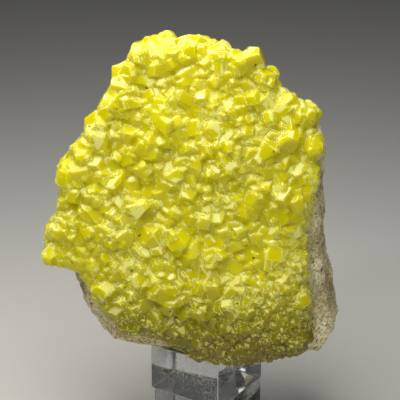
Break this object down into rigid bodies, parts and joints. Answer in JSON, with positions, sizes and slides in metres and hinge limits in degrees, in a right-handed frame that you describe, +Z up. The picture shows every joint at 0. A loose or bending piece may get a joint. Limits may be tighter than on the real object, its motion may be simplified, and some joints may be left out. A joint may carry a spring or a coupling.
{
  "type": "native sulfur crystal specimen on a clear stand",
  "caption": "Upright crust of intergrown yellow native sulfur crystals on grey-beige host rock, standing on stacked square clear acrylic blocks.",
  "frame": {"origin": "middle of the underside of the lower block, where the object rests", "axes": "+Z up; the face covered in crystals looks along -Y; +X to the right of a person who looks at that face"},
  "size_m": [0.1155, 0.0553, 0.1653],
  "materials": {
    "sulfur": "satin",
    "limestone": "matte",
    "clear_acrylic": "polished"
  },
  "bodies": {
    "root": {"sulfur_crystals": "sulfur", "host_rock": "limestone", "upper_block": "clear_acrylic", "lower_block": "clear_acrylic"}
  },
  "joints": []
}
